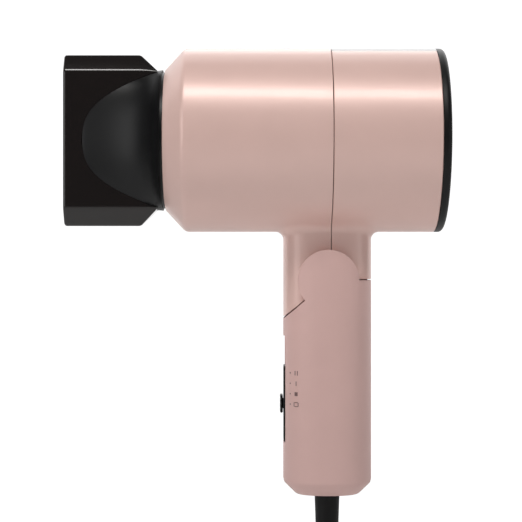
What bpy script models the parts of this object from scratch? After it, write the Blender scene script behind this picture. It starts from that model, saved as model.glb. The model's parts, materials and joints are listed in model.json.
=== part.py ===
"""Folding travel hair dryer, modelled piece by piece.

Frame: metres, +Z up, nozzle towards -X, rear intake towards +X.  The origin is on the
handle's axis at the middle of the grip.  The barrel folds forward about the hinge pin.
"""
import math

import bmesh
import bpy
from mathutils import Matrix, Vector

MM = 0.001
GAP = 0.3 * MM                      # clearance between pieces that touch

# driving dimensions
PIVOT_Z = 52.0 * MM                 # hinge pin above the middle of the grip
AXIS_Z = PIVOT_Z + 57.2 * MM        # barrel's axis
BARREL_R = 37.5 * MM
WALL = 2.2 * MM
MOUTH_X = -66.0 * MM
MOUTH_R = 29.1 * MM
BEVEL_X = -58.0 * MM
SEAM_X = 1.2 * MM                   # parting of the two housings
REAR_X = 43.7 * MM
CAP_X = 47.2 * MM                   # rear end of the barrel
ROUND = 48                          # sides of a large round piece

HALF_W = 18.0 * MM                  # handle and neck, along X
HANDLE_D = 17.5 * MM                # handle, half depth along Y
NECK_D = 13.0 * MM                  # tongue of the neck, half depth along Y
SLOT_D = NECK_D + GAP
KNUCKLE_R = 11.9 * MM
DISC_R = 12.3 * MM                  # round end of the fork's cheeks
HANDLE_BOTTOM = PIVOT_Z - 86.9 * MM
HANDLE_CHAMFER = PIVOT_Z - 81.8 * MM
PARTING = math.radians(221)         # front parting line, seen along +Y
SKIRT_GAP = math.radians(1.5)       # opening of that line, as an angle at the pin
PIN_R = 2.0 * MM

NOZZLE_TIP = -107.8 * MM
NOZZLE_REAR = -67.2 * MM            # mouth of its cone, just clear of the barrel
NOZZLE_APEX = -99.8 * MM            # where the cone runs out into the blade's flat side
BLADE_REAR = -69.3 * MM
BLADE_BEND = -76.3 * MM             # its rear corners are cut at 45 degrees from here
BLADE_H = 35.1 * MM                 # flat blade of the nozzle, half height
BLADE_T = 6.2 * MM                  # and half thickness
FACET_SLOPE = 0.66                  # how fast its long edges thin towards top and bottom

CORD_D = 6.5 * MM
RELIEF_LEN = 45.0 * MM
TURN_R = 19.75 * MM                 # bend of the hank's turns
TURN_PITCH = 6.7 * MM
TURNS = 6
RUN = 73.5 * MM                     # straight run of the hank
HANK_TOP_C = PIVOT_Z - 200.0 * MM   # centre of its upper bend

PINK = ((0.75, 0.52, 0.47, 1), 0.35, 0.1)
BLACK = ((0.01, 0.01, 0.011, 1), 0.45, 0.0)
SMOKE = ((0.02, 0.016, 0.015, 1), 0.08, 0.0)
STEEL = ((0.6, 0.6, 0.6, 1), 0.3, 1.0)
MICA = ((0.55, 0.45, 0.3, 1), 0.6, 0.0)
BRASS = ((0.8, 0.6, 0.3, 1), 0.3, 1.0)
GREEN = ((0.03, 0.2, 0.08, 1), 0.5, 0.0)
NYLON = ((0.75, 0.74, 0.7, 1), 0.5, 0.0)


def new_collection(name):
    collection = bpy.data.collections.new(name)
    bpy.context.scene.collection.children.link(collection)
    return collection


def clear_scene():
    for old in list(bpy.data.objects):
        bpy.data.objects.remove(old, do_unlink=True)
    for old in list(bpy.data.collections):
        bpy.data.collections.remove(old)


def finish_for(name, look):
    colour, roughness, metallic = look
    material = bpy.data.materials.new(name)
    material.use_nodes = True
    shader = material.node_tree.nodes["Principled BSDF"]
    shader.inputs["Base Color"].default_value = colour
    shader.inputs["Roughness"].default_value = roughness
    shader.inputs["Metallic"].default_value = metallic
    return material


clear_scene()
PARTS = new_collection("travel_hair_dryer")
CUTTERS = new_collection("cutters")


def from_bmesh(name, bm, look=None):
    """Make a part from a bmesh, or a cutter when it has no look."""
    bmesh.ops.recalc_face_normals(bm, faces=bm.faces)
    mesh = bpy.data.meshes.new(name)
    bm.to_mesh(mesh)
    bm.free()
    obj = bpy.data.objects.new(name, mesh)
    if look:
        PARTS.objects.link(obj)
        mesh.materials.append(finish_for(name, look))
    else:
        CUTTERS.objects.link(obj)
        obj.hide_render = True
        obj.display_type = "WIRE"
    return obj


def box(name, low, high, look=None):
    bm = bmesh.new()
    bmesh.ops.create_cube(bm, size=1)
    low, high = Vector(low), Vector(high)
    size = high - low
    place = Matrix.Translation((low + high) / 2) @ Matrix.Diagonal((*size, 1))
    bmesh.ops.transform(bm, matrix=place, verts=bm.verts)
    return from_bmesh(name, bm, look)


def loft(name, rings, look=None, closed=False):
    """Skin a list of rings of points; a closed loft joins its last ring to its first."""
    bm = bmesh.new()
    rows = [[bm.verts.new(point) for point in ring] for ring in rings]
    pairs = list(zip(rows, rows[1:]))
    if closed:
        pairs.append((rows[-1], rows[0]))
    for row, following in pairs:
        for i in range(len(row)):
            j = (i + 1) % len(row)
            bm.faces.new((row[i], row[j], following[j], following[i]))
    if not closed:
        bm.faces.new(rows[0])
        bm.faces.new(rows[-1])
    return from_bmesh(name, bm, look)


def turned_x(name, profile, look=None, centre=(0, AXIS_Z), closed=False, sides=ROUND):
    """Turn (x, radius) points about a line along X; a closed profile makes a ring."""
    y0, z0 = centre
    turn = [2 * math.pi * (i + 0.5) / sides for i in range(sides)]
    rings = [[(x, y0 + r * math.cos(a), z0 + r * math.sin(a)) for a in turn] for x, r in profile]
    return loft(name, rings, look, closed)


def turned_z(name, profile, look=None, sides=24):
    turn = [2 * math.pi * i / sides for i in range(sides)]
    rings = [[(r * math.cos(a), r * math.sin(a), z) for a in turn] for z, r in profile]
    return loft(name, rings, look)


def turned_y(name, profile, x, z, look=None, closed=False, sides=24):
    turn = [2 * math.pi * i / sides for i in range(sides)]
    rings = [[(x + r * math.cos(a), y, z + r * math.sin(a)) for a in turn] for y, r in profile]
    return loft(name, rings, look, closed)


def side_prism(name, outline, half_depth, look=None):
    """Extrude an (x, z) outline over plus and minus half_depth along Y."""
    rings = [[(x, y, z) for x, z in outline] for y in (-half_depth, half_depth)]
    return loft(name, rings, look)


def squircle(half_x, half_y, z, power, sides=40, x0=0.0):
    points = []
    for i in range(sides):
        a = 2 * math.pi * i / sides
        c, s = math.cos(a), math.sin(a)
        x = math.copysign(abs(c) ** (2 / power), c) * half_x + x0
        points.append((x, math.copysign(abs(s) ** (2 / power), s) * half_y, z))
    return points


def arc(radius, start, end, steps, cx=0.0, cz=PIVOT_Z):
    """(x, z) points on an arc; angles in degrees, seen along +Y with X to the right."""
    turn = [math.radians(start + (end - start) * i / steps) for i in range(steps + 1)]
    return [(cx + radius * math.cos(a), cz + radius * math.sin(a)) for a in turn]


def boolean(obj, other, operation="DIFFERENCE"):
    modifier = obj.modifiers.new(operation.title() + " " + other.name, "BOOLEAN")
    modifier.operation = operation
    modifier.solver = "EXACT"
    modifier.object = other


# ---------------------------------------------------------------- housings
def neck_solid(name):
    z_top = PIVOT_Z + 30 * MM
    rings = [squircle(HALF_W, NECK_D, z, 3) for z in (PIVOT_Z - 17 * MM, z_top)]
    neck = loft(name, rings)
    edge = math.degrees(PARTING - SKIRT_GAP) - 360
    slope = math.tan(math.radians(edge + 180))
    front = -19 * MM
    outline = [(front, z_top + MM), (-front, z_top + MM), (-front, PIVOT_Z + 0.5 * MM)]
    outline += arc(KNUCKLE_R, 2.4, edge, 14)
    outline.append((front, PIVOT_Z + slope * front))
    boolean(neck, side_prism(name + "_outline", outline, NECK_D + MM), "INTERSECT")
    return neck


def housing(name, keep_low, keep_high):
    """One half of the barrel and neck, kept between two X planes."""
    shell = turned_x(name, [(MOUTH_X, MOUTH_R), (BEVEL_X, BARREL_R), (REAR_X, BARREL_R)], PINK)
    boolean(shell, NECK, "UNION")
    boolean(shell, BARREL_HOLLOW)
    boolean(shell, NECK_HOLLOW)
    boolean(shell, BUSH_HOLE)
    boolean(shell, box(name + "_cut", (keep_low, -0.1, -0.1), (keep_high, 0.1, 0.2)), "INTERSECT")
    return shell


def inlay_strip(name, low_x, high_x, low_r, high_r, half_width, look=None):
    """Strip that follows the top of the barrel."""
    half = math.degrees(half_width / BARREL_R)
    turn = [math.radians(90 - half + 2 * half * i / 8) for i in range(9)]
    section = [(high_r * math.cos(a), high_r * math.sin(a)) for a in turn]
    section += [(low_r * math.cos(a), low_r * math.sin(a)) for a in reversed(turn)]
    rings = [[(x, y, AXIS_Z + z) for y, z in section] for x in (low_x, high_x)]
    return loft(name, rings, look)


NECK = neck_solid("neck_solid")
INNER_R = BARREL_R - WALL
BARREL_HOLLOW = turned_x("barrel_hollow", [
    (MOUTH_X - MM, 28.2 * MM), (MOUTH_X + 5 * MM, 28.2 * MM), (BEVEL_X + 2 * MM, INNER_R),
    (REAR_X + MM, INNER_R)])
NECK_HOLLOW = box("neck_hollow", (-12 * MM, -9.5 * MM, PIVOT_Z + 7 * MM),
                  (12 * MM, 9.5 * MM, PIVOT_Z + 28 * MM))
BUSH_R = 3.4 * MM
BUSH_HOLE = turned_y("bush_hole", [(-20 * MM, BUSH_R), (20 * MM, BUSH_R)], 0, PIVOT_Z)
housing("front_housing", -0.2, SEAM_X - GAP / 2)
rear = housing("rear_housing", SEAM_X + GAP / 2, 0.2)
INLAY_W = 13.2 * MM
boolean(rear, inlay_strip("inlay_pocket", SEAM_X - MM, REAR_X + MM, BARREL_R - 1.3 * MM, BARREL_R + MM,
                          INLAY_W + GAP))
inlay_strip("top_inlay", SEAM_X + GAP, REAR_X - GAP / 2, BARREL_R - MM, BARREL_R, INLAY_W, BLACK)

# rear cap: a ring with a rolled edge and a spigot inside the rear housing
RING_IN = 30.0 * MM
SPIGOT_R = INNER_R - GAP
turned_x("rear_cap_ring", [
    (REAR_X + GAP, BARREL_R), (CAP_X - 1.6 * MM, BARREL_R), (CAP_X - 0.5 * MM, BARREL_R - 0.5 * MM),
    (CAP_X, BARREL_R - 1.7 * MM), (CAP_X, RING_IN), (REAR_X - 3 * MM, RING_IN),
    (REAR_X - 3 * MM, SPIGOT_R), (REAR_X + GAP, SPIGOT_R)], BLACK, closed=True)


def grille(name, low_x, high_x, radius, slots, pitch, bar, look):
    """Disc with parallel slots, each as long as the disc allows, and a middle rib."""
    disc = turned_x(name, [(low_x, radius), (high_x, radius)], look)
    for i in range(slots):
        z = (i - (slots - 1) / 2) * pitch
        reach = math.sqrt(max(0.0, (radius - 2 * MM) ** 2 - (abs(z) + pitch / 2) ** 2))
        for side in (-1, 1):
            y = sorted((side * bar, side * reach))
            low = (low_x - MM, y[0], AXIS_Z + z - pitch * 0.3)
            high = (high_x + MM, y[1], AXIS_Z + z + pitch * 0.3)
            boolean(disc, box("%s_slot_%d_%d" % (name, i, side), low, high))
    return disc


grille("rear_grille", CAP_X - 2.4 * MM, CAP_X - 0.9 * MM, RING_IN - GAP, 7, 6.6 * MM, 1.2 * MM, BLACK)
grille("outlet_grille", -60.9 * MM, -59.4 * MM, 27.6 * MM, 5, 8.0 * MM, 1.2 * MM, STEEL)
turned_x("dust_filter", [(REAR_X - 1.6 * MM, RING_IN - GAP), (REAR_X - 0.9 * MM, RING_IN - GAP)],
         BLACK, sides=32)

# ---------------------------------------------------------------- heater
HEATER_X = (-50 * MM, -14 * MM)
CROSS = 21.5 * MM


def heater():
    half = 0.5 * MM
    section = [(CROSS, -half), (CROSS, half), (half, half), (half, CROSS), (-half, CROSS), (-half, half),
               (-CROSS, half), (-CROSS, -half), (-half, -half), (-half, -CROSS), (half, -CROSS), (half, -half)]
    rings = [[(x, y, AXIS_Z + z) for y, z in section] for x in HEATER_X]
    loft("heater_frame", rings, MICA)
    turned_x("mica_sleeve", [(HEATER_X[0], 26 * MM), (HEATER_X[1], 26 * MM), (HEATER_X[1], 25.4 * MM),
                             (HEATER_X[0], 25.4 * MM)], MICA, closed=True, sides=32)
    box("thermal_cutout", (-30 * MM, 5 * MM, AXIS_Z + 4 * MM), (-20 * MM, 11 * MM, AXIS_Z + 7 * MM), STEEL)


def tube(name, points, radius, look, resolution=2):
    """Round wire or cord along a line of points, closed at both ends."""
    curve = bpy.data.curves.new(name, "CURVE")
    curve.dimensions = "3D"
    curve.bevel_depth = radius
    curve.bevel_resolution = resolution
    curve.use_fill_caps = True
    spline = curve.splines.new("POLY")
    spline.points.add(len(points) - 1)
    for target, point in zip(spline.points, points):
        target.co = (*point, 1)
    curve.materials.append(finish_for(name, look))
    obj = bpy.data.objects.new(name, curve)
    PARTS.objects.link(obj)
    return obj


def heating_coil():
    turns, steps = 6, 14
    radius = CROSS + 1.4 * MM
    low, high = HEATER_X[0] + 4 * MM, HEATER_X[1] - 4 * MM
    points = []
    for i in range(turns * steps + 1):
        a = 2 * math.pi * i / steps
        x = low + (high - low) * i / (turns * steps)
        points.append((x, radius * math.cos(a), AXIS_Z + radius * math.sin(a)))
    tube("heating_coil", points, 0.6 * MM, STEEL)


heater()
heating_coil()

# ---------------------------------------------------------------- motor and fan
MOTOR_R = 13.5 * MM
MOTOR_X = (-8 * MM, 18 * MM)
FAN_X = (23 * MM, 36 * MM)
turned_x("motor", [(MOTOR_X[0], 5 * MM), (MOTOR_X[0], MOTOR_R), (MOTOR_X[1], MOTOR_R), (MOTOR_X[1], 5 * MM)],
         STEEL, sides=32)


def motor_mount():
    """Duct ring with straightening vanes that carry the motor's sleeve."""
    low, high = -6 * MM, 15 * MM
    sleeve_r = MOTOR_R + GAP
    mount = turned_x("motor_mount", [(low, INNER_R - GAP), (high, INNER_R - GAP), (high, 33.2 * MM),
                                     (low, 33.2 * MM)], BLACK, closed=True)
    sleeve = turned_x("motor_sleeve", [(low, sleeve_r + 1.5 * MM), (high, sleeve_r + 1.5 * MM),
                                       (high, sleeve_r), (low, sleeve_r)], closed=True, sides=32)
    boolean(mount, sleeve, "UNION")
    for i in range(6):
        vane = box("vane_%d" % i, (low + MM, -0.6 * MM, 14.6 * MM), (high - MM, 0.6 * MM, 34 * MM))
        around = Matrix.Rotation(math.radians(60 * i + 30), 4, "X")
        vane.data.transform(Matrix.Translation((0, 0, AXIS_Z)) @ around)
        boolean(mount, vane, "UNION")


def fan():
    hub_r = 9 * MM
    shaft_r = 1.2 * MM
    hub = turned_x("fan_impeller", [(FAN_X[0], hub_r), (FAN_X[1] - 3 * MM, hub_r), (FAN_X[1], 5 * MM),
                                    (FAN_X[1], shaft_r + GAP), (FAN_X[0], shaft_r + GAP)],
                   BLACK, closed=True, sides=24)
    for i in range(7):
        blade = box("blade_%d" % i, (-6 * MM, -0.6 * MM, hub_r - 1.5 * MM), (6 * MM, 0.6 * MM, 31.5 * MM))
        pitch = Matrix.Rotation(math.radians(38), 4, "Z")
        around = Matrix.Rotation(2 * math.pi * i / 7, 4, "X")
        middle = Matrix.Translation(((FAN_X[0] + FAN_X[1]) / 2 - MM, 0, AXIS_Z))
        blade.data.transform(middle @ around @ pitch)
        boolean(hub, blade, "UNION")
    turned_x("motor_shaft", [(MOTOR_X[1] + GAP, shaft_r), (FAN_X[1] - MM, shaft_r)], STEEL, sides=16)


motor_mount()
fan()

# ---------------------------------------------------------------- nozzle
def cone_section(x, grow, sides=40):
    """Elliptical section of the nozzle's cone.

    It crosses the blade's flat side at a height that grows from nothing at the apex to
    nearly the full radius at the mouth, where the section is round.
    """
    s = min(max((x - NOZZLE_APEX) / (NOZZLE_REAR - NOZZLE_APEX), 0.0), 1.0)
    half_z = (26.2 + 2.7 * s) * MM
    crossing = 28.23 * MM * s ** 0.38
    half_y = BLADE_T / math.sqrt(1 - (crossing / half_z) ** 2)
    turn = [2 * math.pi * (i + 0.5) / sides for i in range(sides)]
    return [(x, (half_y + grow) * math.cos(a), AXIS_Z + (half_z + grow) * math.sin(a)) for a in turn]


def cone_stations(steps):
    """Places along the cone, closer together at both ends, where it curves most."""
    span = NOZZLE_REAR - NOZZLE_APEX
    return [NOZZLE_APEX + span * (0.5 - 0.5 * math.cos(math.pi * i / steps)) for i in range(steps + 1)]


def ring_x(x, radius, sides=40):
    turn = [2 * math.pi * (i + 0.5) / sides for i in range(sides)]
    return [(x, radius * math.cos(a), AXIS_Z + radius * math.sin(a)) for a in turn]


def blade_section(x, inset):
    """Eight-sided section of the nozzle's blade, lower towards its rear corners."""
    height = BLADE_H - max(0.0, x - BLADE_BEND) - inset
    knee = min(28 * MM, height - 0.4 * MM)
    half = BLADE_T - inset
    tip = half - (height - knee) * FACET_SLOPE
    return [(x, y, AXIS_Z + z) for y, z in (
        (half, -knee), (half, knee), (tip, height), (-tip, height),
        (-half, knee), (-half, -knee), (-tip, -height), (tip, -height))]


def nozzle():
    stations = cone_stations(12)
    outer = [cone_section(x, -0.05 * MM) for x in stations]
    inner = [cone_section(x, -1.2 * MM) for x in reversed(stations)]
    spigot = [ring_x(NOZZLE_REAR, 27.8 * MM), ring_x(MOUTH_X + 4.4 * MM, 27.8 * MM),
              ring_x(MOUTH_X + 4.4 * MM, 26.4 * MM)]
    loft("nozzle_duct", outer + spigot + inner, BLACK, closed=True)
    wall = 1.8 * MM
    xs = (NOZZLE_TIP, BLADE_BEND, BLADE_REAR)
    shroud = loft("nozzle_shroud", [blade_section(x, 0) for x in xs]
                  + [blade_section(x, wall) for x in reversed(xs)], SMOKE, closed=True)
    room = [cone_section(x, GAP) for x in [NOZZLE_APEX - GAP] + stations + [NOZZLE_REAR + 2 * MM]]
    boolean(shroud, loft("cone_room", room))


nozzle()

# ---------------------------------------------------------------- handle
SWITCH_LOW, SWITCH_HIGH = PIVOT_Z - 65.6 * MM, PIVOT_Z - 34.9 * MM
RECESS_TOP = PIVOT_Z - 22.6 * MM
RECESS_D = 1.6 * MM
KNOB_Z = PIVOT_Z - 50.5 * MM
RELIEF_R = 5.15 * MM


def neck_reach(y):
    """Half width of the neck's section at a depth y."""
    return HALF_W * (1 - (y / NECK_D) ** 3) ** (1 / 3)


def sweep_slots():
    """Room between the cheeks for the knuckle and for the neck's skirt as it swings.

    The neck's section narrows with depth, so the room is stepped to follow it.
    """
    clear = KNUCKLE_R + 0.7 * MM
    shoulder = PIVOT_Z + 0.2 * MM
    top = PIVOT_Z + 15 * MM
    front_edge = -20 * MM
    line = [(front_edge, top), (-front_edge, top), (-front_edge, shoulder)] + arc(clear, 1, -139, 14)
    line.append((front_edge, PIVOT_Z + front_edge * math.tan(PARTING - math.pi)))
    slots = [side_prism("fork_slot", line, SLOT_D)]
    for i, (inner, outer) in enumerate(((0, 4), (4, 6), (6, 8), (8, 10), (10, 12), (12, 13.2))):
        reach = neck_reach(inner * MM) / math.cos(PARTING - SKIRT_GAP - math.pi) + GAP
        sector = [(0, PIVOT_Z + i * 0.1 * MM)] + arc(reach, -48.5 - 0.3 * i, -214 + 2 * i, 20)
        slots.append(side_prism("skirt_room_%d" % i, sector, outer * MM))
    return slots


def handle_solids():
    rings = [squircle(13.2 * MM, 12.7 * MM, HANDLE_BOTTOM, 2.5),
             squircle(HALF_W, HANDLE_D, HANDLE_CHAMFER, 2.5),
             squircle(HALF_W, HANDLE_D, PIVOT_Z + 14 * MM, 2.5)]
    side = 19 * MM
    slope = math.tan(PARTING - math.pi)
    outline = [(-side, PIVOT_Z - side * slope)]
    outline += arc(DISC_R, math.degrees(PARTING), 0, 26)
    outline += [(side, PIVOT_Z), (side, HANDLE_BOTTOM - MM), (-side, HANDLE_BOTTOM - MM)]
    cavity_x = 1.2 * MM
    cavity = loft("handle_cavity", [
        squircle(11 * MM, 11 * MM, HANDLE_BOTTOM + 2.3 * MM, 2.5),
        squircle(14.6 * MM, 15.2 * MM, HANDLE_CHAMFER + MM, 2.5, x0=cavity_x),
        squircle(14.6 * MM, 15.2 * MM, PIVOT_Z - 27 * MM, 2.5, x0=cavity_x),
        squircle(9 * MM, 10 * MM, PIVOT_Z - 22 * MM, 2.5, x0=cavity_x)])
    slots = sweep_slots()
    outside = -20 * MM
    recess = box("switch_recess", (outside, -7 * MM, SWITCH_LOW - GAP), (-HALF_W + RECESS_D, 7 * MM, RECESS_TOP))
    window = box("switch_window", (outside, -2.4 * MM, KNOB_Z - 2.9 * MM),
                 (-12 * MM, 2.4 * MM, KNOB_Z + 15.6 * MM))
    pin_hole = turned_y("pin_hole", [(-15.8 * MM, PIN_R + GAP), (15.8 * MM, PIN_R + GAP)], 0, PIVOT_Z)
    relief_hole = turned_z("relief_hole", [(HANDLE_BOTTOM - MM, RELIEF_R + GAP),
                                           (HANDLE_BOTTOM + 4 * MM, RELIEF_R + GAP)])
    for name, sign in (("handle_left_shell", -1), ("handle_right_shell", 1)):
        shell = loft(name, rings, PINK)
        boolean(shell, side_prism(name + "_outline", outline, 0.03), "INTERSECT")
        for cutter in [cavity, *slots, recess, window, pin_hole, relief_hole]:
            boolean(shell, cutter)
        y = sorted((sign * GAP / 2, sign * 0.05))
        boolean(shell, box(name + "_side", (-0.05, y[0], -0.1), (0.05, y[1], 0.1)), "INTERSECT")


handle_solids()
turned_y("hinge_pin", [(-15.5 * MM, PIN_R), (15.5 * MM, PIN_R)], 0, PIVOT_Z, STEEL)
turned_y("hinge_bush", [(-12.8 * MM, BUSH_R - GAP), (12.8 * MM, BUSH_R - GAP), (12.8 * MM, PIN_R + GAP),
                        (-12.8 * MM, PIN_R + GAP)], 0, PIVOT_Z, NYLON, closed=True)


def switch():
    plate = box("switch_plate", (-HALF_W + 0.1 * MM, -6.6 * MM, SWITCH_LOW),
                (-HALF_W + RECESS_D - GAP, 6.6 * MM, SWITCH_HIGH), BLACK)
    boolean(plate, box("plate_slot", (-20 * MM, -2.2 * MM, KNOB_Z - 2.4 * MM),
                       (-15 * MM, 2.2 * MM, KNOB_Z + 15 * MM)))
    knob = box("switch_knob", (-19.3 * MM, -4.4 * MM, KNOB_Z - 3.6 * MM),
               (-18.2 * MM, 4.4 * MM, KNOB_Z + 3.6 * MM), BLACK)
    stem = box("knob_stem", (-18.7 * MM, -1.8 * MM, KNOB_Z - 2.0 * MM),
               (-12.6 * MM, 1.8 * MM, KNOB_Z + 2.0 * MM))
    boolean(knob, stem, "UNION")
    box("switch_body", (-12.2 * MM, -6 * MM, KNOB_Z - 8 * MM), (-4 * MM, 6 * MM, KNOB_Z + 20 * MM), BLACK)
    box("circuit_board", (-1.5 * MM, -9 * MM, PIVOT_Z - 68 * MM), (0.1 * MM, 9 * MM, PIVOT_Z - 30 * MM), GREEN)
    clamp_low = HANDLE_CHAMFER + 3 * MM
    clamp = box("cord_clamp", (-6 * MM, -9 * MM, clamp_low), (8 * MM, 9 * MM, clamp_low + 5 * MM), NYLON)
    boolean(clamp, turned_z("clamp_hole", [(clamp_low - MM, 3 * MM), (clamp_low + 6 * MM, 3 * MM)], sides=16))


switch()

# ---------------------------------------------------------------- cord
RELIEF_END = HANDLE_BOTTOM - RELIEF_LEN
turned_z("strain_relief", [
    (RELIEF_END, 3.75 * MM), (HANDLE_BOTTOM, RELIEF_R), (HANDLE_BOTTOM + 2.7 * MM, RELIEF_R),
    (HANDLE_BOTTOM + 2.7 * MM, 7 * MM), (HANDLE_BOTTOM + 5 * MM, 7 * MM)], BLACK)

ENTRY_Z = HANK_TOP_C + 16.6 * MM
LAST_Y = TURNS * TURN_PITCH
TAIL_TOP = HANK_TOP_C - RUN - 16.6 * MM
PLUG_TOP = TAIL_TOP - 12 * MM


def cord_lead():
    """From the strain relief straight down, easing across to the hank's first run."""
    top, bottom = RELIEF_END - GAP, ENTRY_Z + GAP
    points = []
    steps = 16
    for i in range(steps + 1):
        t = i / steps
        ease = 10 * t ** 3 - 15 * t ** 4 + 6 * t ** 5
        points.append((TURN_R * ease, 0, top + (bottom - top) * t))
    tube("power_cord", points, CORD_D / 2, BLACK)


def hank():
    outer = TURN_R + CORD_D / 2
    bottom_c = HANK_TOP_C - RUN
    outline = arc(outer, 0, 180, 12, cz=HANK_TOP_C) + arc(outer, 180, 360, 12, cz=bottom_c)
    rings = [[(x, y, z) for x, z in outline] for y in (-CORD_D / 2, LAST_Y + CORD_D / 2)]
    loft("cord_hank", rings, BLACK)
    tie_z = (HANK_TOP_C + bottom_c) / 2
    reach, deep = outer + GAP, CORD_D / 2 + GAP
    thick = 1.4 * MM

    def ring(x, y_low, y_high, z):
        return [(-x, y_low, z), (x, y_low, z), (x, y_high, z), (-x, y_high, z)]

    inside = (reach, -deep, LAST_Y + deep)
    outside = (reach + thick, -deep - thick, LAST_Y + deep + thick)
    low, high = tie_z - 7 * MM, tie_z + 7 * MM
    loft("cord_tie", [ring(*outside, low), ring(*outside, high), ring(*inside, high), ring(*inside, low)],
         BLACK, closed=True)
    tail = [(TURN_R, LAST_Y, TAIL_TOP - (TAIL_TOP - PLUG_TOP - GAP) * i / 4) for i in range(5)]
    tube("cord_tail", tail, CORD_D / 2, BLACK)


def plug():
    """Plain two-blade plug that hangs on the end of the lead."""
    def ring(half_x, half_y, z):
        return [(TURN_R + x, LAST_Y + y, PLUG_TOP + z) for x, y, _ in squircle(half_x, half_y, 0, 3, 24)]

    loft("plug_body", [
        ring(4.6 * MM, 4.6 * MM, 0), ring(5.4 * MM, 5.2 * MM, -8 * MM), ring(10.5 * MM, 7.5 * MM, -14 * MM),
        ring(12.5 * MM, 9 * MM, -22 * MM), ring(12.5 * MM, 9 * MM, -27 * MM)], BLACK)
    for name, side in (("plug_blade_left", -1), ("plug_blade_right", 1)):
        x = TURN_R + side * 6.35 * MM
        box(name, (x - 0.75 * MM, LAST_Y - 3.15 * MM, PLUG_TOP - 44 * MM),
            (x + 0.75 * MM, LAST_Y + 3.15 * MM, PLUG_TOP - 27 * MM - GAP), BRASS)


cord_lead()
hank()
plug()
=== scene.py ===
"""Looks of the folding travel hair dryer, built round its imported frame."""
import json
import math

import bmesh
import bpy
from mathutils import Matrix, Vector


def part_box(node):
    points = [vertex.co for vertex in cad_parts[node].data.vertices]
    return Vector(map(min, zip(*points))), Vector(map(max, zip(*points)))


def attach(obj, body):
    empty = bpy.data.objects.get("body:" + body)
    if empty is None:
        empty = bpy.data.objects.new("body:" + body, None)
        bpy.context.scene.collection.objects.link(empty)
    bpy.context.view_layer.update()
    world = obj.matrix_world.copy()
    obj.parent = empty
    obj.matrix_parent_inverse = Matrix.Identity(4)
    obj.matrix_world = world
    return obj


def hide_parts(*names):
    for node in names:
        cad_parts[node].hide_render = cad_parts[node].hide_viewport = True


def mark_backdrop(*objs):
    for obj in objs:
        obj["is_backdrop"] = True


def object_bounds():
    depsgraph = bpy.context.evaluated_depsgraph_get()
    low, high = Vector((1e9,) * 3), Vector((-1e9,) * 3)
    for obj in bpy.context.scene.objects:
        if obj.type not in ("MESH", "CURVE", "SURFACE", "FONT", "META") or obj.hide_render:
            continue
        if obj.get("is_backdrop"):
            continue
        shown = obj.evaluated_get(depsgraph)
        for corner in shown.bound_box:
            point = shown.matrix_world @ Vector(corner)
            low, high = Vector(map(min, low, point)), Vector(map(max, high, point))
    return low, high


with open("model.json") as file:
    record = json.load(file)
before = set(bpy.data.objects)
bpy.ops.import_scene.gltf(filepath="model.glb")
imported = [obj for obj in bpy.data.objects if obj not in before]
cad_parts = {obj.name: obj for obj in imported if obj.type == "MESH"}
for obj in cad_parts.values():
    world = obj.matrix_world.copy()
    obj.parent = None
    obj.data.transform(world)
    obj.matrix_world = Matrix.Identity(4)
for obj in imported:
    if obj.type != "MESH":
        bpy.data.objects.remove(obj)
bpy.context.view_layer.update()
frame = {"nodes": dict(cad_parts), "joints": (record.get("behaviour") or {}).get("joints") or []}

MM = 0.001
NODES = frame["nodes"]
JOINTS = {joint["name"]: joint for joint in frame["joints"]}
PIVOT_Z = JOINTS["handle_fold"]["pos_m"][2]
AXIS_Z = JOINTS["nozzle_turn"]["pos_m"][2]

# shapes that repeat the frame's own sizes
MOUTH_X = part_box("front_housing")[0].x
BARREL_R = 37.5 * MM
MOUTH_R = 29.1 * MM
BEVEL_X = -58.0 * MM
SEAM_X = 1.2 * MM
REAR_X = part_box("rear_housing")[1].x
CAP_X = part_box("rear_cap_ring")[1].x
INLAY_W = 13.2 * MM
HALF_W = 18.0 * MM
HANDLE_D = 17.5 * MM
NECK_D = 13.0 * MM
KNUCKLE_R = 11.9 * MM
DISC_R = 12.3 * MM
HANDLE_BOTTOM = PIVOT_Z - 86.9 * MM
HANDLE_CHAMFER = PIVOT_Z - 81.8 * MM
PARTING = math.radians(221)
SKIRT_GAP = math.radians(1.5)
GAP = 0.3 * MM
NOZZLE_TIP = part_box("nozzle_shroud")[0].x
NOZZLE_REAR = -67.2 * MM
NOZZLE_APEX = -99.8 * MM
BLADE_REAR = -69.3 * MM
BLADE_BEND = -76.3 * MM
BLADE_H = 35.1 * MM
BLADE_T = 6.2 * MM
KNOB_Z = PIVOT_Z - 50.5 * MM
SWITCH_LOW, SWITCH_HIGH = PIVOT_Z - 65.6 * MM, PIVOT_Z - 34.9 * MM
BLADE_KNEE = 28 * MM
FACET_SLOPE = 0.66
FINE = 160


# ------------------------------------------------------------ materials
def srgb(red, green, blue):
    def linear(value):
        value /= 255
        return value / 12.92 if value <= 0.04045 else ((value + 0.055) / 1.055) ** 2.4
    return (linear(red), linear(green), linear(blue), 1)


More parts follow.
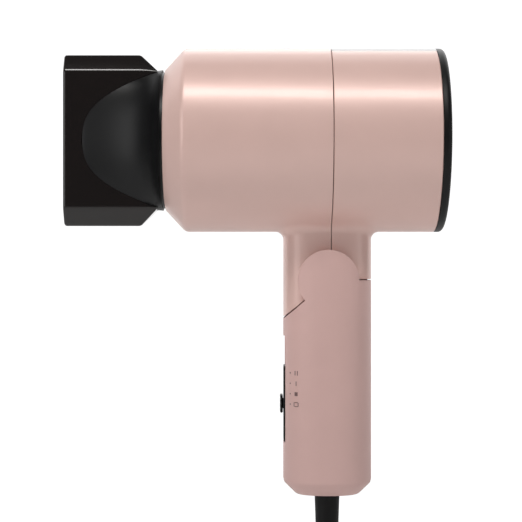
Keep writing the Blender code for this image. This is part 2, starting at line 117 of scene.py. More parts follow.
def plastic(name, colour, rough, vary=0.04, grain=2500, bump=0.05, coat=0.0, metal=0.0, spec=0.5):
    """Moulded material: slight colour mottle, uneven gloss and a fine skin grain."""
    material = bpy.data.materials.new(name)
    material.use_nodes = True
    tree = material.node_tree
    shader = tree.nodes["Principled BSDF"]
    shader.inputs["Metallic"].default_value = metal
    shader.inputs["Coat Weight"].default_value = coat
    shader.inputs["Coat Roughness"].default_value = 0.15
    shader.inputs["Specular IOR Level"].default_value = spec
    place = tree.nodes.new("ShaderNodeTexCoord")
    broad = tree.nodes.new("ShaderNodeTexNoise")
    broad.inputs["Scale"].default_value = 55
    broad.inputs["Detail"].default_value = 4
    fine = tree.nodes.new("ShaderNodeTexNoise")
    fine.inputs["Scale"].default_value = grain
    fine.inputs["Detail"].default_value = 2
    tint = tree.nodes.new("ShaderNodeValToRGB")
    tint.color_ramp.elements[0].position = 0.3
    tint.color_ramp.elements[1].position = 0.7
    tint.color_ramp.elements[0].color = tuple(c * (1 - vary) for c in colour[:3]) + (1,)
    tint.color_ramp.elements[1].color = tuple(min(1, c * (1 + vary)) for c in colour[:3]) + (1,)
    gloss = tree.nodes.new("ShaderNodeMapRange")
    gloss.inputs["To Min"].default_value = rough * 0.9
    gloss.inputs["To Max"].default_value = min(1, rough * 1.12)
    skin = tree.nodes.new("ShaderNodeBump")
    skin.inputs["Strength"].default_value = bump
    skin.inputs["Distance"].default_value = 0.00005
    link = tree.links.new
    link(place.outputs["Object"], broad.inputs["Vector"])
    link(place.outputs["Object"], fine.inputs["Vector"])
    link(broad.outputs["Fac"], tint.inputs["Fac"])
    link(tint.outputs["Color"], shader.inputs["Base Color"])
    link(broad.outputs["Fac"], gloss.inputs["Value"])
    link(gloss.outputs["Result"], shader.inputs["Roughness"])
    link(fine.outputs["Fac"], skin.inputs["Height"])
    link(skin.outputs["Normal"], shader.inputs["Normal"])
    return material


PEARL = plastic("pearl_pink", srgb(236, 200, 191), 0.36, 0.015, 4000, 0.04, 0.25, 0.12)
GRIP = plastic("grip_pink", srgb(224, 186, 180), 0.5, 0.02, 3500, 0.08, 0.0, 0.05)
BLACK = plastic("matte_black", srgb(9, 9, 10), 0.42, 0.1, 3000, 0.1, spec=0.3)
CONE = plastic("cone_black", srgb(9, 9, 11), 0.38, 0.1, 3000, 0.06, spec=0.35)
SMOKE = plastic("smoked_gloss", srgb(18, 11, 10), 0.12, 0.1, 300, 0.01, 0.4)
INLAY = plastic("inlay_black", srgb(16, 15, 16), 0.2, 0.1, 2000, 0.03, 0.3)
RUBBER = plastic("cord_rubber", srgb(9, 9, 10), 0.6, 0.15, 1800, 0.25, spec=0.3)
STEEL = plastic("steel", srgb(175, 175, 178), 0.32, 0.06, 1500, 0.05, 0.0, 1.0)
COIL = plastic("coil_wire", srgb(150, 140, 130), 0.4, 0.15, 1500, 0.05, 0.0, 1.0)
BRASS = plastic("brass", srgb(205, 175, 110), 0.25, 0.06, 1500, 0.05, 0.0, 1.0)
MICA = plastic("mica", srgb(190, 170, 135), 0.55, 0.2, 600, 0.2)
BOARD = plastic("board", srgb(30, 95, 50), 0.45, 0.15, 900, 0.1)
NYLON = plastic("nylon", srgb(222, 220, 210), 0.5, 0.04, 1500, 0.1)
PRINT = plastic("mark_print", srgb(120, 92, 90), 0.5, 0.05)


def strap_weave():
    """Woven hook-and-loop strap."""
    material = plastic("strap_weave", srgb(24, 24, 26), 0.9, 0.25, 1200, 0.6)
    tree = material.node_tree
    weave = tree.nodes.new("ShaderNodeTexChecker")
    weave.inputs["Scale"].default_value = 1400
    bump = tree.nodes["Bump"]
    place = tree.nodes["Texture Coordinate"]
    tree.links.new(place.outputs["Object"], weave.inputs["Vector"])
    tree.links.new(weave.outputs["Fac"], bump.inputs["Height"])
    return material


STRAP = strap_weave()


# ------------------------------------------------------------ mesh helpers
def finish_piece(obj, material, slot_name, body, *nodes):
    obj.data.materials.clear()
    obj.data.materials.append(material)
    if obj.type == "MESH":
        obj.data.shade_smooth()
        obj.data.set_sharp_from_angle(angle=math.radians(32))
    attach(obj, body)
    if nodes:
        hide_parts(*nodes)
    return obj


def from_bmesh(name, bm):
    bmesh.ops.recalc_face_normals(bm, faces=bm.faces)
    mesh = bpy.data.meshes.new(name)
    bm.to_mesh(mesh)
    bm.free()
    obj = bpy.data.objects.new(name, mesh)
    bpy.context.scene.collection.objects.link(obj)
    return obj


def loft(name, rings, closed=False):
    bm = bmesh.new()
    rows = [[bm.verts.new(point) for point in ring] for ring in rings]
    pairs = list(zip(rows, rows[1:]))
    if closed:
        pairs.append((rows[-1], rows[0]))
    for row, following in pairs:
        for i in range(len(row)):
            j = (i + 1) % len(row)
            bm.faces.new((row[i], row[j], following[j], following[i]))
    if not closed:
        bm.faces.new(rows[0])
        bm.faces.new(rows[-1])
    return from_bmesh(name, bm)


def rounded_box(name, low, high, radius, segments=3):
    bm = bmesh.new()
    bmesh.ops.create_cube(bm, size=1)
    low, high = Vector(low), Vector(high)
    place = Matrix.Translation((low + high) / 2) @ Matrix.Diagonal((*(high - low), 1))
    bmesh.ops.transform(bm, matrix=place, verts=bm.verts)
    if radius:
        bmesh.ops.bevel(bm, geom=list(bm.edges), offset=radius, segments=segments, profile=0.5,
                        affect="EDGES")
    return from_bmesh(name, bm)


def ring_x(x, radius, sides=FINE):
    turn = [2 * math.pi * (i + 0.5) / sides for i in range(sides)]
    return [(x, radius * math.cos(a), AXIS_Z + radius * math.sin(a)) for a in turn]


def turned_x(name, profile, closed=False, sides=FINE):
    return loft(name, [ring_x(x, r, sides) for x, r in profile], closed)


def turned_z(name, profile, sides=64):
    turn = [2 * math.pi * i / sides for i in range(sides)]
    return loft(name, [[(r * math.cos(a), r * math.sin(a), z) for a in turn] for z, r in profile])


def side_prism(name, outline, half_depth):
    return loft(name, [[(x, y, z) for x, z in outline] for y in (-half_depth, half_depth)])


def squircle(half_x, half_y, z, power, sides=120, x0=0.0):
    points = []
    for i in range(sides):
        a = 2 * math.pi * i / sides
        c, s = math.cos(a), math.sin(a)
        x = math.copysign(abs(c) ** (2 / power), c) * half_x + x0
        points.append((x, math.copysign(abs(s) ** (2 / power), s) * half_y, z))
    return points


def arc(radius, start, end, steps, cx=0.0, cz=PIVOT_Z):
    turn = [math.radians(start + (end - start) * i / steps) for i in range(steps + 1)]
    return [(cx + radius * math.cos(a), cz + radius * math.sin(a)) for a in turn]


def carve(obj, other, operation="DIFFERENCE", keep=False):
    """Apply one Boolean and drop its cutter, unless another piece still needs it."""
    modifier = obj.modifiers.new("carve", "BOOLEAN")
    modifier.operation = operation
    modifier.solver = "EXACT"
    modifier.object = other
    bpy.context.view_layer.update()
    graph = bpy.context.evaluated_depsgraph_get()
    mesh = bpy.data.meshes.new_from_object(obj.evaluated_get(graph))
    obj.modifiers.clear()
    obj.data = mesh
    if not keep:
        bpy.data.objects.remove(other, do_unlink=True)
    return obj


def copy_of(obj, name):
    twin = bpy.data.objects.new(name, obj.data.copy())
    bpy.context.scene.collection.objects.link(twin)
    return twin


# ------------------------------------------------------------ barrel and neck
FILLET = 3.3 * MM
BARREL_WALL = 2.2 * MM
MOUTH_IN = 28.2 * MM


def neck_solid():
    """Tongue of the neck, flared to meet the barrel in a fillet."""
    base = squircle(HALF_W, NECK_D, 0, 3)
    count = len(base)
    normals = []
    for i in range(count):
        before, after = base[i - 1], base[(i + 1) % count]
        normals.append(Vector((after[1] - before[1], before[0] - after[0])).normalized())
    rings = [[(x, y, PIVOT_Z - 17 * MM) for x, y, _ in base]]
    steps = 8
    for k in range(steps + 1):
        turn = math.pi / 2 * k / steps
        out = FILLET * (1 - math.cos(turn))
        drop = FILLET * (1 - math.sin(turn))
        ring = []
        for (x, y, _), normal in zip(base, normals):
            px, py = x + normal.x * out, y + normal.y * out
            under = AXIS_Z - math.sqrt(BARREL_R ** 2 - py ** 2)
            ring.append((px, py, under - drop + 0.02 * MM))
        rings.append(ring)
    rings.append([(x * 0.9, y * 0.9, z + 3 * MM) for x, y, z in rings[-1]])
    neck = loft("neck_solid", rings)
    edge = math.degrees(PARTING - SKIRT_GAP) - 360
    slope = math.tan(math.radians(edge + 180))
    front, top = -26 * MM, PIVOT_Z + 32 * MM
    outline = [(front, top), (-front, top), (-front, PIVOT_Z + 0.4 * MM)]
    outline += arc(KNUCKLE_R, 2.4, edge, 40)
    outline.append((front, PIVOT_Z + slope * front))
    return carve(neck, side_prism("neck_outline", outline, NECK_D + 8 * MM), "INTERSECT")


def housings():
    wall_r = BARREL_R - BARREL_WALL
    chamfer = 1.2 * MM
    neck = neck_solid()
    front_end = SEAM_X - GAP / 2
    rear_start = SEAM_X + GAP / 2
    spans = (
        ("barrel_front", -0.2, front_end, [
            (front_end - 0.2 * MM, BARREL_R), (front_end, BARREL_R - 0.2 * MM),
            (front_end, wall_r), (BEVEL_X + 2 * MM, wall_r),
            (MOUTH_X + 5 * MM, MOUTH_IN), (MOUTH_X, MOUTH_IN),
            (MOUTH_X, MOUTH_R - 0.3 * MM), (MOUTH_X + 0.3 * MM, MOUTH_R + 0.1 * MM),
            (BEVEL_X - chamfer, BARREL_R - chamfer * 1.05), (BEVEL_X - 0.3 * MM, BARREL_R - 0.5 * MM),
            (BEVEL_X + 0.5 * MM, BARREL_R - 0.1 * MM), (BEVEL_X + 1.4 * MM, BARREL_R)]),
        ("barrel_rear", rear_start, 0.2, [
            (REAR_X - 0.3 * MM, BARREL_R), (REAR_X, BARREL_R - 0.3 * MM),
            (REAR_X, wall_r), (rear_start, wall_r),
            (rear_start, BARREL_R - 0.2 * MM), (rear_start + 0.2 * MM, BARREL_R)]),
    )
    pieces = []
    for name, low, high, profile in spans:
        shell = turned_x(name, profile, closed=True)
        half = copy_of(neck, name + "_neck")
        carve(half, rounded_box(name + "_span", (low, -0.1, -0.1), (high, 0.1, 0.2), 0), "INTERSECT")
        hollow = turned_x("hollow", [(-60 * MM, wall_r - 0.5 * MM), (REAR_X, wall_r - 0.5 * MM)])
        carve(half, hollow)
        carve(shell, half, "UNION")
        pieces.append(shell)
    bpy.data.objects.remove(neck, do_unlink=True)
    front, rear = pieces
    carve(rear, inlay_strip("pocket", SEAM_X - MM, REAR_X + MM, BARREL_R - 1.3 * MM, BARREL_R + MM,
                            INLAY_W + 0.15 * MM))
    carve(rear, rounded_box("tongue_room", (13.2 * MM, -6 * MM, PIVOT_Z - MM),
                            (16.6 * MM, 6 * MM, PIVOT_Z + 1.3 * MM), 0))
    finish_piece(front, PEARL, "pink_shell", "housing", "front_housing")
    finish_piece(rear, PEARL, "pink_shell", "housing", "rear_housing")
    strip = inlay_strip("inlay", SEAM_X + GAP, REAR_X - 0.1 * MM, BARREL_R - MM, BARREL_R, INLAY_W)
    finish_piece(strip, INLAY, "black_plastic", "housing", "top_inlay")


def inlay_strip(name, low_x, high_x, low_r, high_r, half_width):
    half = math.degrees(half_width / BARREL_R)
    turn = [math.radians(90 - half + 2 * half * i / 24) for i in range(25)]
    section = [(high_r * math.cos(a), high_r * math.sin(a)) for a in turn]
    section += [(low_r * math.cos(a), low_r * math.sin(a)) for a in reversed(turn)]
    return loft(name, [[(x, y, AXIS_Z + z) for y, z in section] for x in (low_x, high_x)])


def intake():
    """Black ring, spoked grille and its hub."""
    ring_in = 30 * MM
    start = REAR_X + 0.1 * MM
    edge = 1.9 * MM
    profile = [(start, BARREL_R - 0.2 * MM), (start + 0.2 * MM, BARREL_R)]
    for i in range(9):
        a = math.radians(90 * i / 8)
        profile.append((CAP_X - edge + edge * math.sin(a), BARREL_R - edge + edge * math.cos(a)))
    profile += [(CAP_X, ring_in + 0.6 * MM), (CAP_X - 0.4 * MM, ring_in), (CAP_X - 5 * MM, ring_in),
                (CAP_X - 5 * MM, ring_in + 4 * MM), (start, ring_in + 4 * MM)]
    ring = turned_x("intake_ring", profile, closed=True)
    finish_piece(ring, BLACK, "black_plastic", "housing", "rear_cap_ring")
    low, high = CAP_X - 2.4 * MM, CAP_X - 0.9 * MM
    bm = bmesh.new()
    for i in range(8):
        outer = ring_in - GAP - i * 3.6 * MM
        inner = outer - 1.3 * MM if i else outer - 2.0 * MM
        rows = [[bm.verts.new(p) for p in ring_x(x, r, 96)]
                for x, r in ((low, outer), (high - 0.3 * MM, outer), (high, outer - 0.3 * MM),
                             (high, inner + 0.3 * MM), (high - 0.3 * MM, inner), (low, inner))]
        for row, following in zip(rows, rows[1:] + rows[:1]):
            for k in range(96):
                bm.faces.new((row[k], row[(k + 1) % 96], following[(k + 1) % 96], following[k]))
    for i in range(12):
        made = bmesh.ops.create_cube(bm, size=1)["verts"]
        size = Matrix.Diagonal((1.1 * MM, 1.0 * MM, ring_in - 5.5 * MM, 1))
        out = Matrix.Translation((0, 0, (ring_in + 3.4 * MM) / 2))
        turn = Matrix.Rotation(math.radians(30 * i), 4, "X")
        middle = Matrix.Translation(((low + high) / 2 - 0.1 * MM, 0, AXIS_Z))
        bmesh.ops.transform(bm, matrix=middle @ turn @ out @ size, verts=made)
    finish_piece(from_bmesh("intake_grille", bm), BLACK, "black_plastic", "housing", "rear_grille")
    hub = turned_x("grille_hub", [(low, 4.6 * MM), (high, 4.6 * MM), (high + 0.3 * MM, 3.6 * MM)], sides=64)
    finish_piece(hub, INLAY, "black_plastic", "housing")


# ------------------------------------------------------------ nozzle
def cone_section(x, grow, sides=128):
    """Ellipse that crosses the blade's flat side along the curve of the cone's edge."""
    s = min(max((x - NOZZLE_APEX) / (NOZZLE_REAR - NOZZLE_APEX), 0.0), 1.0)
    half_z = (26.2 + 2.7 * s) * MM
    crossing = 28.23 * MM * s ** 0.38
    half_y = BLADE_T / math.sqrt(1 - (crossing / half_z) ** 2)
    turn = [2 * math.pi * (i + 0.5) / sides for i in range(sides)]
    return [(x, (half_y + grow) * math.cos(a), AXIS_Z + (half_z + grow) * math.sin(a)) for a in turn]


def blade_section(x, inset, soft=1.0 * MM):
    """Eight-sided section with each corner softened by a short curve."""
    height = BLADE_H - max(0.0, x - BLADE_BEND) - inset
    knee = min(BLADE_KNEE, height - 0.4 * MM)
    half = BLADE_T - inset
    tip = half - (height - knee) * FACET_SLOPE
    corners = [Vector(c) for c in ((half, -knee), (half, knee), (tip, height), (-tip, height),
                                   (-half, knee), (-half, -knee), (-tip, -height), (tip, -height))]
    points = []
    for i, corner in enumerate(corners):
        before, after = corners[i - 1], corners[(i + 1) % 8]
        reach = min(soft, 0.4 * (before - corner).length, 0.4 * (after - corner).length)
        start = corner + (before - corner).normalized() * reach
        end = corner + (after - corner).normalized() * reach
        for k in range(5):
            t = k / 4
            p = start * (1 - t) ** 2 + corner * 2 * t * (1 - t) + end * t ** 2
            points.append((x, p.x, AXIS_Z + p.y))
    return points


def nozzle():
    steps = 48
    span = NOZZLE_REAR - NOZZLE_APEX
    stations = [NOZZLE_APEX + span * (0.5 - 0.5 * math.cos(math.pi * i / steps)) for i in range(steps + 1)]
    outer = [cone_section(x, -0.12 * MM) for x in stations]
    inner = [cone_section(x, -1.2 * MM) for x in reversed(stations)]
    back = MOUTH_X + 4.4 * MM
    spigot = [ring_x(NOZZLE_REAR, 27.8 * MM, 128), ring_x(back, 27.8 * MM, 128), ring_x(back, 26.4 * MM, 128)]
    duct = loft("nozzle_cone", outer + spigot + inner, closed=True)
    finish_piece(duct, CONE, "black_plastic", "nozzle", "nozzle_duct")
    wall = 1.8 * MM
    rings = [blade_section(NOZZLE_TIP, wall - 0.3 * MM), blade_section(NOZZLE_TIP, 1.2 * MM)]
    for i in range(1, 7):
        a = math.pi / 2 * i / 6
        rings.append(blade_section(NOZZLE_TIP + 1.2 * MM * (1 - math.cos(a)), 1.2 * MM * (1 - math.sin(a))))
    rings += [blade_section(x, 0) for x in (BLADE_BEND - 0.5 * MM, BLADE_BEND + 0.4 * MM, BLADE_REAR)]
    rings += [blade_section(x, wall) for x in (BLADE_REAR, BLADE_BEND, NOZZLE_TIP + 0.3 * MM)]
    blade = loft("nozzle_blade", rings, closed=True)
    room = [cone_section(x, 0.02 * MM) for x in [NOZZLE_APEX - GAP] + stations + [NOZZLE_REAR + 2 * MM]]
    carve(blade, loft("cone_room", room))
    finish_piece(blade, SMOKE, "smoked_plastic", "nozzle", "nozzle_shroud")


# ------------------------------------------------------------ handle
HANDLE_POWER = 2.5


def handle():
    """Two half shells with a fork, a switch recess and an eased bottom edge."""
    rings = [squircle(12.9 * MM, 12.4 * MM, HANDLE_BOTTOM, HANDLE_POWER),
             squircle(13.4 * MM, 12.9 * MM, HANDLE_BOTTOM + 0.3 * MM, HANDLE_POWER),
             squircle(17.6 * MM, 17.1 * MM, HANDLE_CHAMFER - 0.6 * MM, HANDLE_POWER),
             squircle(HALF_W, HANDLE_D, HANDLE_CHAMFER + 0.8 * MM, HANDLE_POWER),
             squircle(HALF_W, HANDLE_D, PIVOT_Z + 14 * MM, HANDLE_POWER)]
    side = 19 * MM
    outline = [(-side, PIVOT_Z - side * math.tan(PARTING - math.pi))]
    outline += arc(DISC_R, math.degrees(PARTING), 0, 90)
    outline += [(side, PIVOT_Z), (side, HANDLE_BOTTOM - MM), (-side, HANDLE_BOTTOM - MM)]
    body = loft("handle_body", rings)
    carve(body, side_prism("outline", outline, 0.03), "INTERSECT")
    x0 = 1.2 * MM
    carve(body, loft("cavity", [
        squircle(11 * MM, 11 * MM, HANDLE_BOTTOM + 2.3 * MM, HANDLE_POWER),
        squircle(14.6 * MM, 15.2 * MM, HANDLE_CHAMFER + MM, HANDLE_POWER, x0=x0),
        squircle(14.6 * MM, 15.2 * MM, PIVOT_Z - 27 * MM, HANDLE_POWER, x0=x0),
        squircle(9 * MM, 10 * MM, PIVOT_Z - 22 * MM, HANDLE_POWER, x0=x0)]))
    edge = -20 * MM
    top = PIVOT_Z + 15 * MM
    slot = [(edge, top), (-edge, top), (-edge, PIVOT_Z + 0.12 * MM)] + arc(KNUCKLE_R + 0.7 * MM, 0.5, -139, 40)
    slot.append((edge, PIVOT_Z + edge * math.tan(PARTING - math.pi)))
    carve(body, side_prism("slot", slot, NECK_D + GAP))
    # the neck's skirt sweeps this room out as it turns; its radius shrinks with its rounded side
    steps = (0, 2, 4, 5, 6, 7, 8, 9, 10, 11, 12, 13.2)
    for i, (near, far) in enumerate(zip(steps, steps[1:])):
        skirt = math.cos(PARTING - SKIRT_GAP - math.pi)
        reach = HALF_W * (1 - (near * MM / NECK_D) ** 3) ** (1 / 3) / skirt + 0.2 * MM
        sector = [(0, PIVOT_Z + i * 0.05 * MM)] + arc(reach, -48.5 - 0.15 * i, -214 + i, 40)
        carve(body, side_prism("skirt_room", sector, far * MM))
    carve(body, rounded_box("recess", (edge, -7 * MM, SWITCH_LOW - GAP),
                            (-HALF_W + 1.6 * MM, 7 * MM, PIVOT_Z - 22.6 * MM), 0))
    carve(body, rounded_box("window", (edge, -2.4 * MM, KNOB_Z - 2.9 * MM),
                            (-12 * MM, 2.4 * MM, KNOB_Z + 15.6 * MM), 0))
    carve(body, turned_z("relief_hole", [(HANDLE_BOTTOM - MM, 5.3 * MM), (HANDLE_BOTTOM + 4 * MM, 5.3 * MM)]))
    tongue = rounded_box("tongue", (13.6 * MM, -5.6 * MM, PIVOT_Z - 3 * MM),
                         (16.2 * MM, 5.6 * MM, PIVOT_Z + MM), 0)
    carve(body, tongue, "UNION")
    halves = (("grip_left", "handle_left_shell", -1), ("grip_right", "handle_right_shell", 1))
    for name, node, sign in halves:
        half = copy_of(body, name)
        y = sorted((sign * 0.06 * MM, sign * 0.05))
        carve(half, rounded_box("half_room", (-0.05, y[0], -0.1), (0.05, y[1], 0.1), 0), "INTERSECT")
        finish_piece(half, GRIP, "pink_shell", "handle", node)
    bpy.data.objects.remove(body, do_unlink=True)


def switch():
    """Slotted plate and the ribbed knob that slides in it."""
    plate = rounded_box("slider_plate", (-HALF_W + 0.1 * MM, -6.6 * MM, SWITCH_LOW),
                        (-HALF_W + 1.3 * MM, 6.6 * MM, SWITCH_HIGH), 0.35 * MM)
    carve(plate, rounded_box("plate_slot", (-20 * MM, -2.2 * MM, KNOB_Z - 2.4 * MM),
                             (-15 * MM, 2.2 * MM, KNOB_Z + 15 * MM), 0))
    finish_piece(plate, BLACK, "black_plastic", "handle", "switch_plate")
    cap = rounded_box("slider_knob", (-19.3 * MM, -4.4 * MM, KNOB_Z - 3.6 * MM),
                      (-18.2 * MM, 4.4 * MM, KNOB_Z + 3.6 * MM), 0.4 * MM)
    stem = rounded_box("stem", (-18.6 * MM, -1.8 * MM, KNOB_Z - 2.0 * MM),
                       (-12.6 * MM, 1.8 * MM, KNOB_Z + 2.0 * MM), 0)
    carve(cap, stem, "UNION")
    for i in range(-1, 2):
        z = KNOB_Z + i * 2.0 * MM
        carve(cap, rounded_box("rib_cut", (-19.6 * MM, -5 * MM, z - 0.35 * MM),
                               (-18.95 * MM, 5 * MM, z + 0.35 * MM), 0))
    finish_piece(cap, BLACK, "black_plastic", "knob", "switch_knob")


def surface_depth(x):
    return HANDLE_D * (1 - (abs(x) / HALF_W) ** HANDLE_POWER) ** 0.4


def switch_marks():
    """A dot and a generic bar mark beside each of the switch's four places."""
    pitch = 4.2 * MM
    bm = bmesh.new()

    def add(x, z, width, height):
        slope = (surface_depth(x + 0.2 * MM) - surface_depth(x - 0.2 * MM)) / (0.4 * MM)
        made = bmesh.ops.create_cube(bm, size=1)["verts"]
        size = Matrix.Diagonal((width, 0.12 * MM, height, 1))
        turn = Matrix.Rotation(-math.atan(slope), 4, "Z")
        where = Matrix.Translation((x, -surface_depth(x) - 0.02 * MM, z))
        bmesh.ops.transform(bm, matrix=where @ turn @ size, verts=made)

    for i in range(4):
        z = KNOB_Z + 0.6 * MM + i * pitch
        add(-15.3 * MM, z, 0.5 * MM, 0.5 * MM)
        if i == 3:
            add(-13.4 * MM, z, 0.35 * MM, 1.8 * MM)
            add(-12.5 * MM, z, 0.35 * MM, 1.8 * MM)
        elif i == 2:
            add(-13.0 * MM, z, 0.35 * MM, 1.8 * MM)
        elif i == 1:
            add(-13.0 * MM, z, 1.5 * MM, 1.5 * MM)
        else:
            frame_bars = ((-0.8, 0, 0.3, 1.6), (0.8, 0, 0.3, 1.6), (0, 0.8, 1.6, 0.3), (0, -0.8, 1.6, 0.3))
            for dx, dz, w, h in frame_bars:
                add(-13.0 * MM + dx * MM, z + dz * MM, w * MM, h * MM)
    finish_piece(from_bmesh("switch_marks", bm), PRINT, "black_plastic", "handle")


# ------------------------------------------------------------ cord
CORD_D = 6.5 * MM
TURN_R = 19.75 * MM
TURN_PITCH = 6.7 * MM
TURNS = 6
RUN = 73.5 * MM
HANK_TOP_C = PIVOT_Z - 200 * MM
RELIEF_END = HANDLE_BOTTOM - 45 * MM
LAST_Y = TURNS * TURN_PITCH
PLUG_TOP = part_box("plug_body")[1].z


def cord_route():
    """Lead, six turns of the hank and the tail down to the plug."""
    top, bottom = RELIEF_END - GAP, HANK_TOP_C + 16.9 * MM
    points = []
    for i in range(17):
        t = i / 16
        ease = 10 * t ** 3 - 15 * t ** 4 + 6 * t ** 5
        points.append((TURN_R * ease, 0, top + (bottom - top) * t))
    low_c = HANK_TOP_C - RUN
    for turn in range(TURNS):
        y = turn * TURN_PITCH
        points += [(TURN_R, y, HANK_TOP_C - RUN * k / 6) for k in range(7)]
        points += [(x, y, z) for x, z in arc(TURN_R, 0, -180, 20, cz=low_c)[1:]]
        points += [(-TURN_R, y + TURN_PITCH * (0.5 - 0.5 * math.cos(math.pi * k / 10)), low_c + RUN * k / 10)
                   for k in range(1, 11)]
        points += [(x, y + TURN_PITCH, z) for x, z in arc(TURN_R, 180, 0, 20, cz=HANK_TOP_C)[1:-1]]
    length = HANK_TOP_C - PLUG_TOP - GAP
    points += [(TURN_R, LAST_Y, HANK_TOP_C - length * k / 12) for k in range(13)]
    return points


def cord():
    route = cord_route()
    curve = bpy.data.curves.new("mains_cord", "CURVE")
    curve.dimensions = "3D"
    curve.bevel_depth = CORD_D / 2
    curve.bevel_resolution = 5
    curve.use_fill_caps = True
    spline = curve.splines.new("POLY")
    spline.points.add(len(route) - 1)
    for target, point in zip(spline.points, route):
        target.co = (*point, 1)
    piece = bpy.data.objects.new("mains_cord", curve)
    bpy.context.scene.collection.objects.link(piece)
    finish_piece(piece, RUBBER, "cord_rubber", "handle", "power_cord", "cord_hank", "cord_tail")
    return piece


def strain_relief():
    profile = [(RELIEF_END, 3.4 * MM), (RELIEF_END + 0.4 * MM, 3.75 * MM)]
    slope = (5.15 - 3.75) / 45
    for i in range(7):
        z = RELIEF_END + (3 + i * 3.6) * MM
        radius = (3.75 + slope * (3 + i * 3.6)) * MM
        groove = radius - 0.7 * MM
        profile += [(z, radius), (z + 0.2 * MM, groove), (z + 1.2 * MM, groove), (z + 1.4 * MM, radius)]
    profile += [(HANDLE_BOTTOM, 5.15 * MM), (HANDLE_BOTTOM + 2.7 * MM, 5.15 * MM),
                (HANDLE_BOTTOM + 2.7 * MM, 7 * MM), (HANDLE_BOTTOM + 5 * MM, 7 * MM)]
    finish_piece(turned_z("cord_sleeve", profile), RUBBER, "cord_rubber", "handle", "strain_relief")


def round_uprights(obj, radius):
    """Round a box's four upright edges."""
    bm = bmesh.new()
    bm.from_mesh(obj.data)
    upright = [e for e in bm.edges if abs(e.verts[0].co.z - e.verts[1].co.z) > 5 * MM]
    bmesh.ops.bevel(bm, geom=upright, offset=radius, segments=6, profile=0.5, affect="EDGES")
    bm.to_mesh(obj.data)
    bm.free()


def tie():
    """Closed strap round the hank."""
    low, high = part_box("cord_tie")
    thick = Vector((1.4 * MM, 1.4 * MM, -MM))
    outer = rounded_box("hank_strap", low, high, 0)
    round_uprights(outer, 3.2 * MM)
    inner = rounded_box("strap_room", low + thick, high - thick, 0)
    round_uprights(inner, 2.2 * MM)
    carve(outer, inner)
    return finish_piece(outer, STRAP, "tie_fabric", "handle", "cord_tie")


def plug():
    def ring(half_x, half_y, z):
        outline = squircle(half_x * MM, half_y * MM, 0, 3, 64)
        return [(TURN_R + x, LAST_Y + y, PLUG_TOP + z * MM) for x, y, _ in outline]

    rings = [ring(4.0, 4.0, 0), ring(4.6, 4.6, -0.5)]
    for i in range(3):
        z = -1.6 - i * 2.2
        half = 4.6 + 0.25 * i
        rings += [ring(half, half, z), ring(half - 0.6, half - 0.6, z - 0.2),
                  ring(half - 0.6, half - 0.6, z - 0.9), ring(half + 0.1, half + 0.1, z - 1.1)]
    rings += [ring(5.6, 5.3, -9), ring(7.6, 6.0, -11.5), ring(10.2, 7.3, -14), ring(11.9, 8.5, -18),
              ring(12.5, 9, -22), ring(12.5, 9, -26.2), ring(11.9, 8.4, -27)]
    return finish_piece(loft("plug_shell", rings), RUBBER, "cord_rubber", "handle", "plug_body")


# ------------------------------------------------------------ kept frame pieces
def dress_nodes():
    """Give every frame piece that stays in view, or sits inside, its material."""
    looks = {
        "outlet_grille": STEEL, "dust_filter": BLACK, "heater_frame": MICA, "mica_sleeve": MICA,
        "heating_coil": COIL, "thermal_cutout": STEEL, "motor": STEEL, "motor_mount": BLACK,
        "motor_shaft": STEEL, "fan_impeller": BLACK, "hinge_pin": STEEL, "hinge_bush": NYLON,
        "switch_body": BLACK, "circuit_board": BOARD, "cord_clamp": NYLON,
        "plug_blade_left": BRASS, "plug_blade_right": BRASS,
    }
    for name, material in looks.items():
        mesh = NODES[name].data
        mesh.materials.clear()
        mesh.materials.append(material)


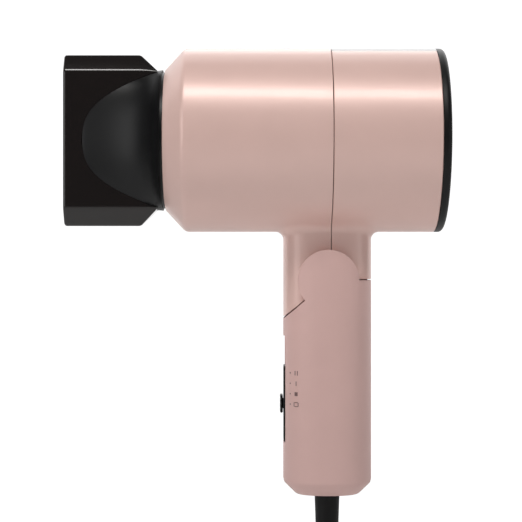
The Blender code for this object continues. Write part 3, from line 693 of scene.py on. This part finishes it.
# ------------------------------------------------------------ studio
def area_light(name, place, aim, size, power, colour=(1, 1, 1)):
    light = bpy.data.lights.new(name, "AREA")
    light.shape = "RECTANGLE"
    light.size, light.size_y = size
    light.energy = power
    light.color = colour
    obj = bpy.data.objects.new(name, light)
    obj.location = place
    obj.rotation_euler = (Vector(aim) - Vector(place)).to_track_quat("-Z", "Y").to_euler()
    bpy.context.scene.collection.objects.link(obj)


def studio():
    scene = bpy.context.scene
    camera_data = bpy.data.cameras.new("camera")
    camera_data.lens = 108
    camera_data.sensor_width = 36
    camera = bpy.data.objects.new("camera", camera_data)
    camera.location = (-27.1 * MM, -643 * MM, 59.8 * MM)
    camera.rotation_euler = (math.radians(90), 0, 0)
    scene.collection.objects.link(camera)
    scene.camera = camera
    scene.view_settings.view_transform = "Standard"
    world = bpy.data.worlds.new("studio")
    world.use_nodes = True
    world.node_tree.nodes["Background"].inputs["Color"].default_value = (1, 1, 1, 1)
    world.node_tree.nodes["Background"].inputs["Strength"].default_value = 0.12
    scene.world = world
    area_light("key", (-0.12, -0.60, 1.02), (0.02, 0, 0.12), (1.0, 0.22), 7.5, (1.0, 0.985, 0.96))
    area_light("front", (-1.15, -1.0, 0.35), (0, 0, 0.06), (0.6, 0.9), 3.6)
    area_light("fill", (1.0, -0.75, 0.15), (0, 0, 0.05), (0.4, 0.8), 0.9)
    area_light("rim", (0.1, 0.8, 0.7), (0, 0, 0.1), (0.8, 0.4), 1.2)
    floor_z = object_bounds()[0][2] - 2 * MM
    # the floor ends below the front view, and the wall stands behind the rear views' camera
    floor = rounded_box("floor", (-4, -4, floor_z - 0.01), (4, 1.3, floor_z), 0)
    floor.data.materials.append(paper("pale_floor", 0.0))
    wall = rounded_box("wall", (-12, 4, -4), (12, 4.02, 10), 0)
    wall.data.materials.append(paper("pale_wall", 0.98))
    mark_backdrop(floor, wall)


def paper(name, glow):
    """Matt white card; the wall behind is lit evenly."""
    material = plastic(name, (0.82, 0.82, 0.82, 1), 0.9, 0.01, 40, 0.0)
    shader = material.node_tree.nodes["Principled BSDF"]
    shader.inputs["Emission Color"].default_value = (1, 1, 1, 1)
    shader.inputs["Emission Strength"].default_value = glow
    return material


studio()
cord_piece = cord()
strain_relief()
housings()
intake()
nozzle()
handle()
switch()
switch_marks()
strap_piece = tie()
plug_piece = plug()
dress_nodes()
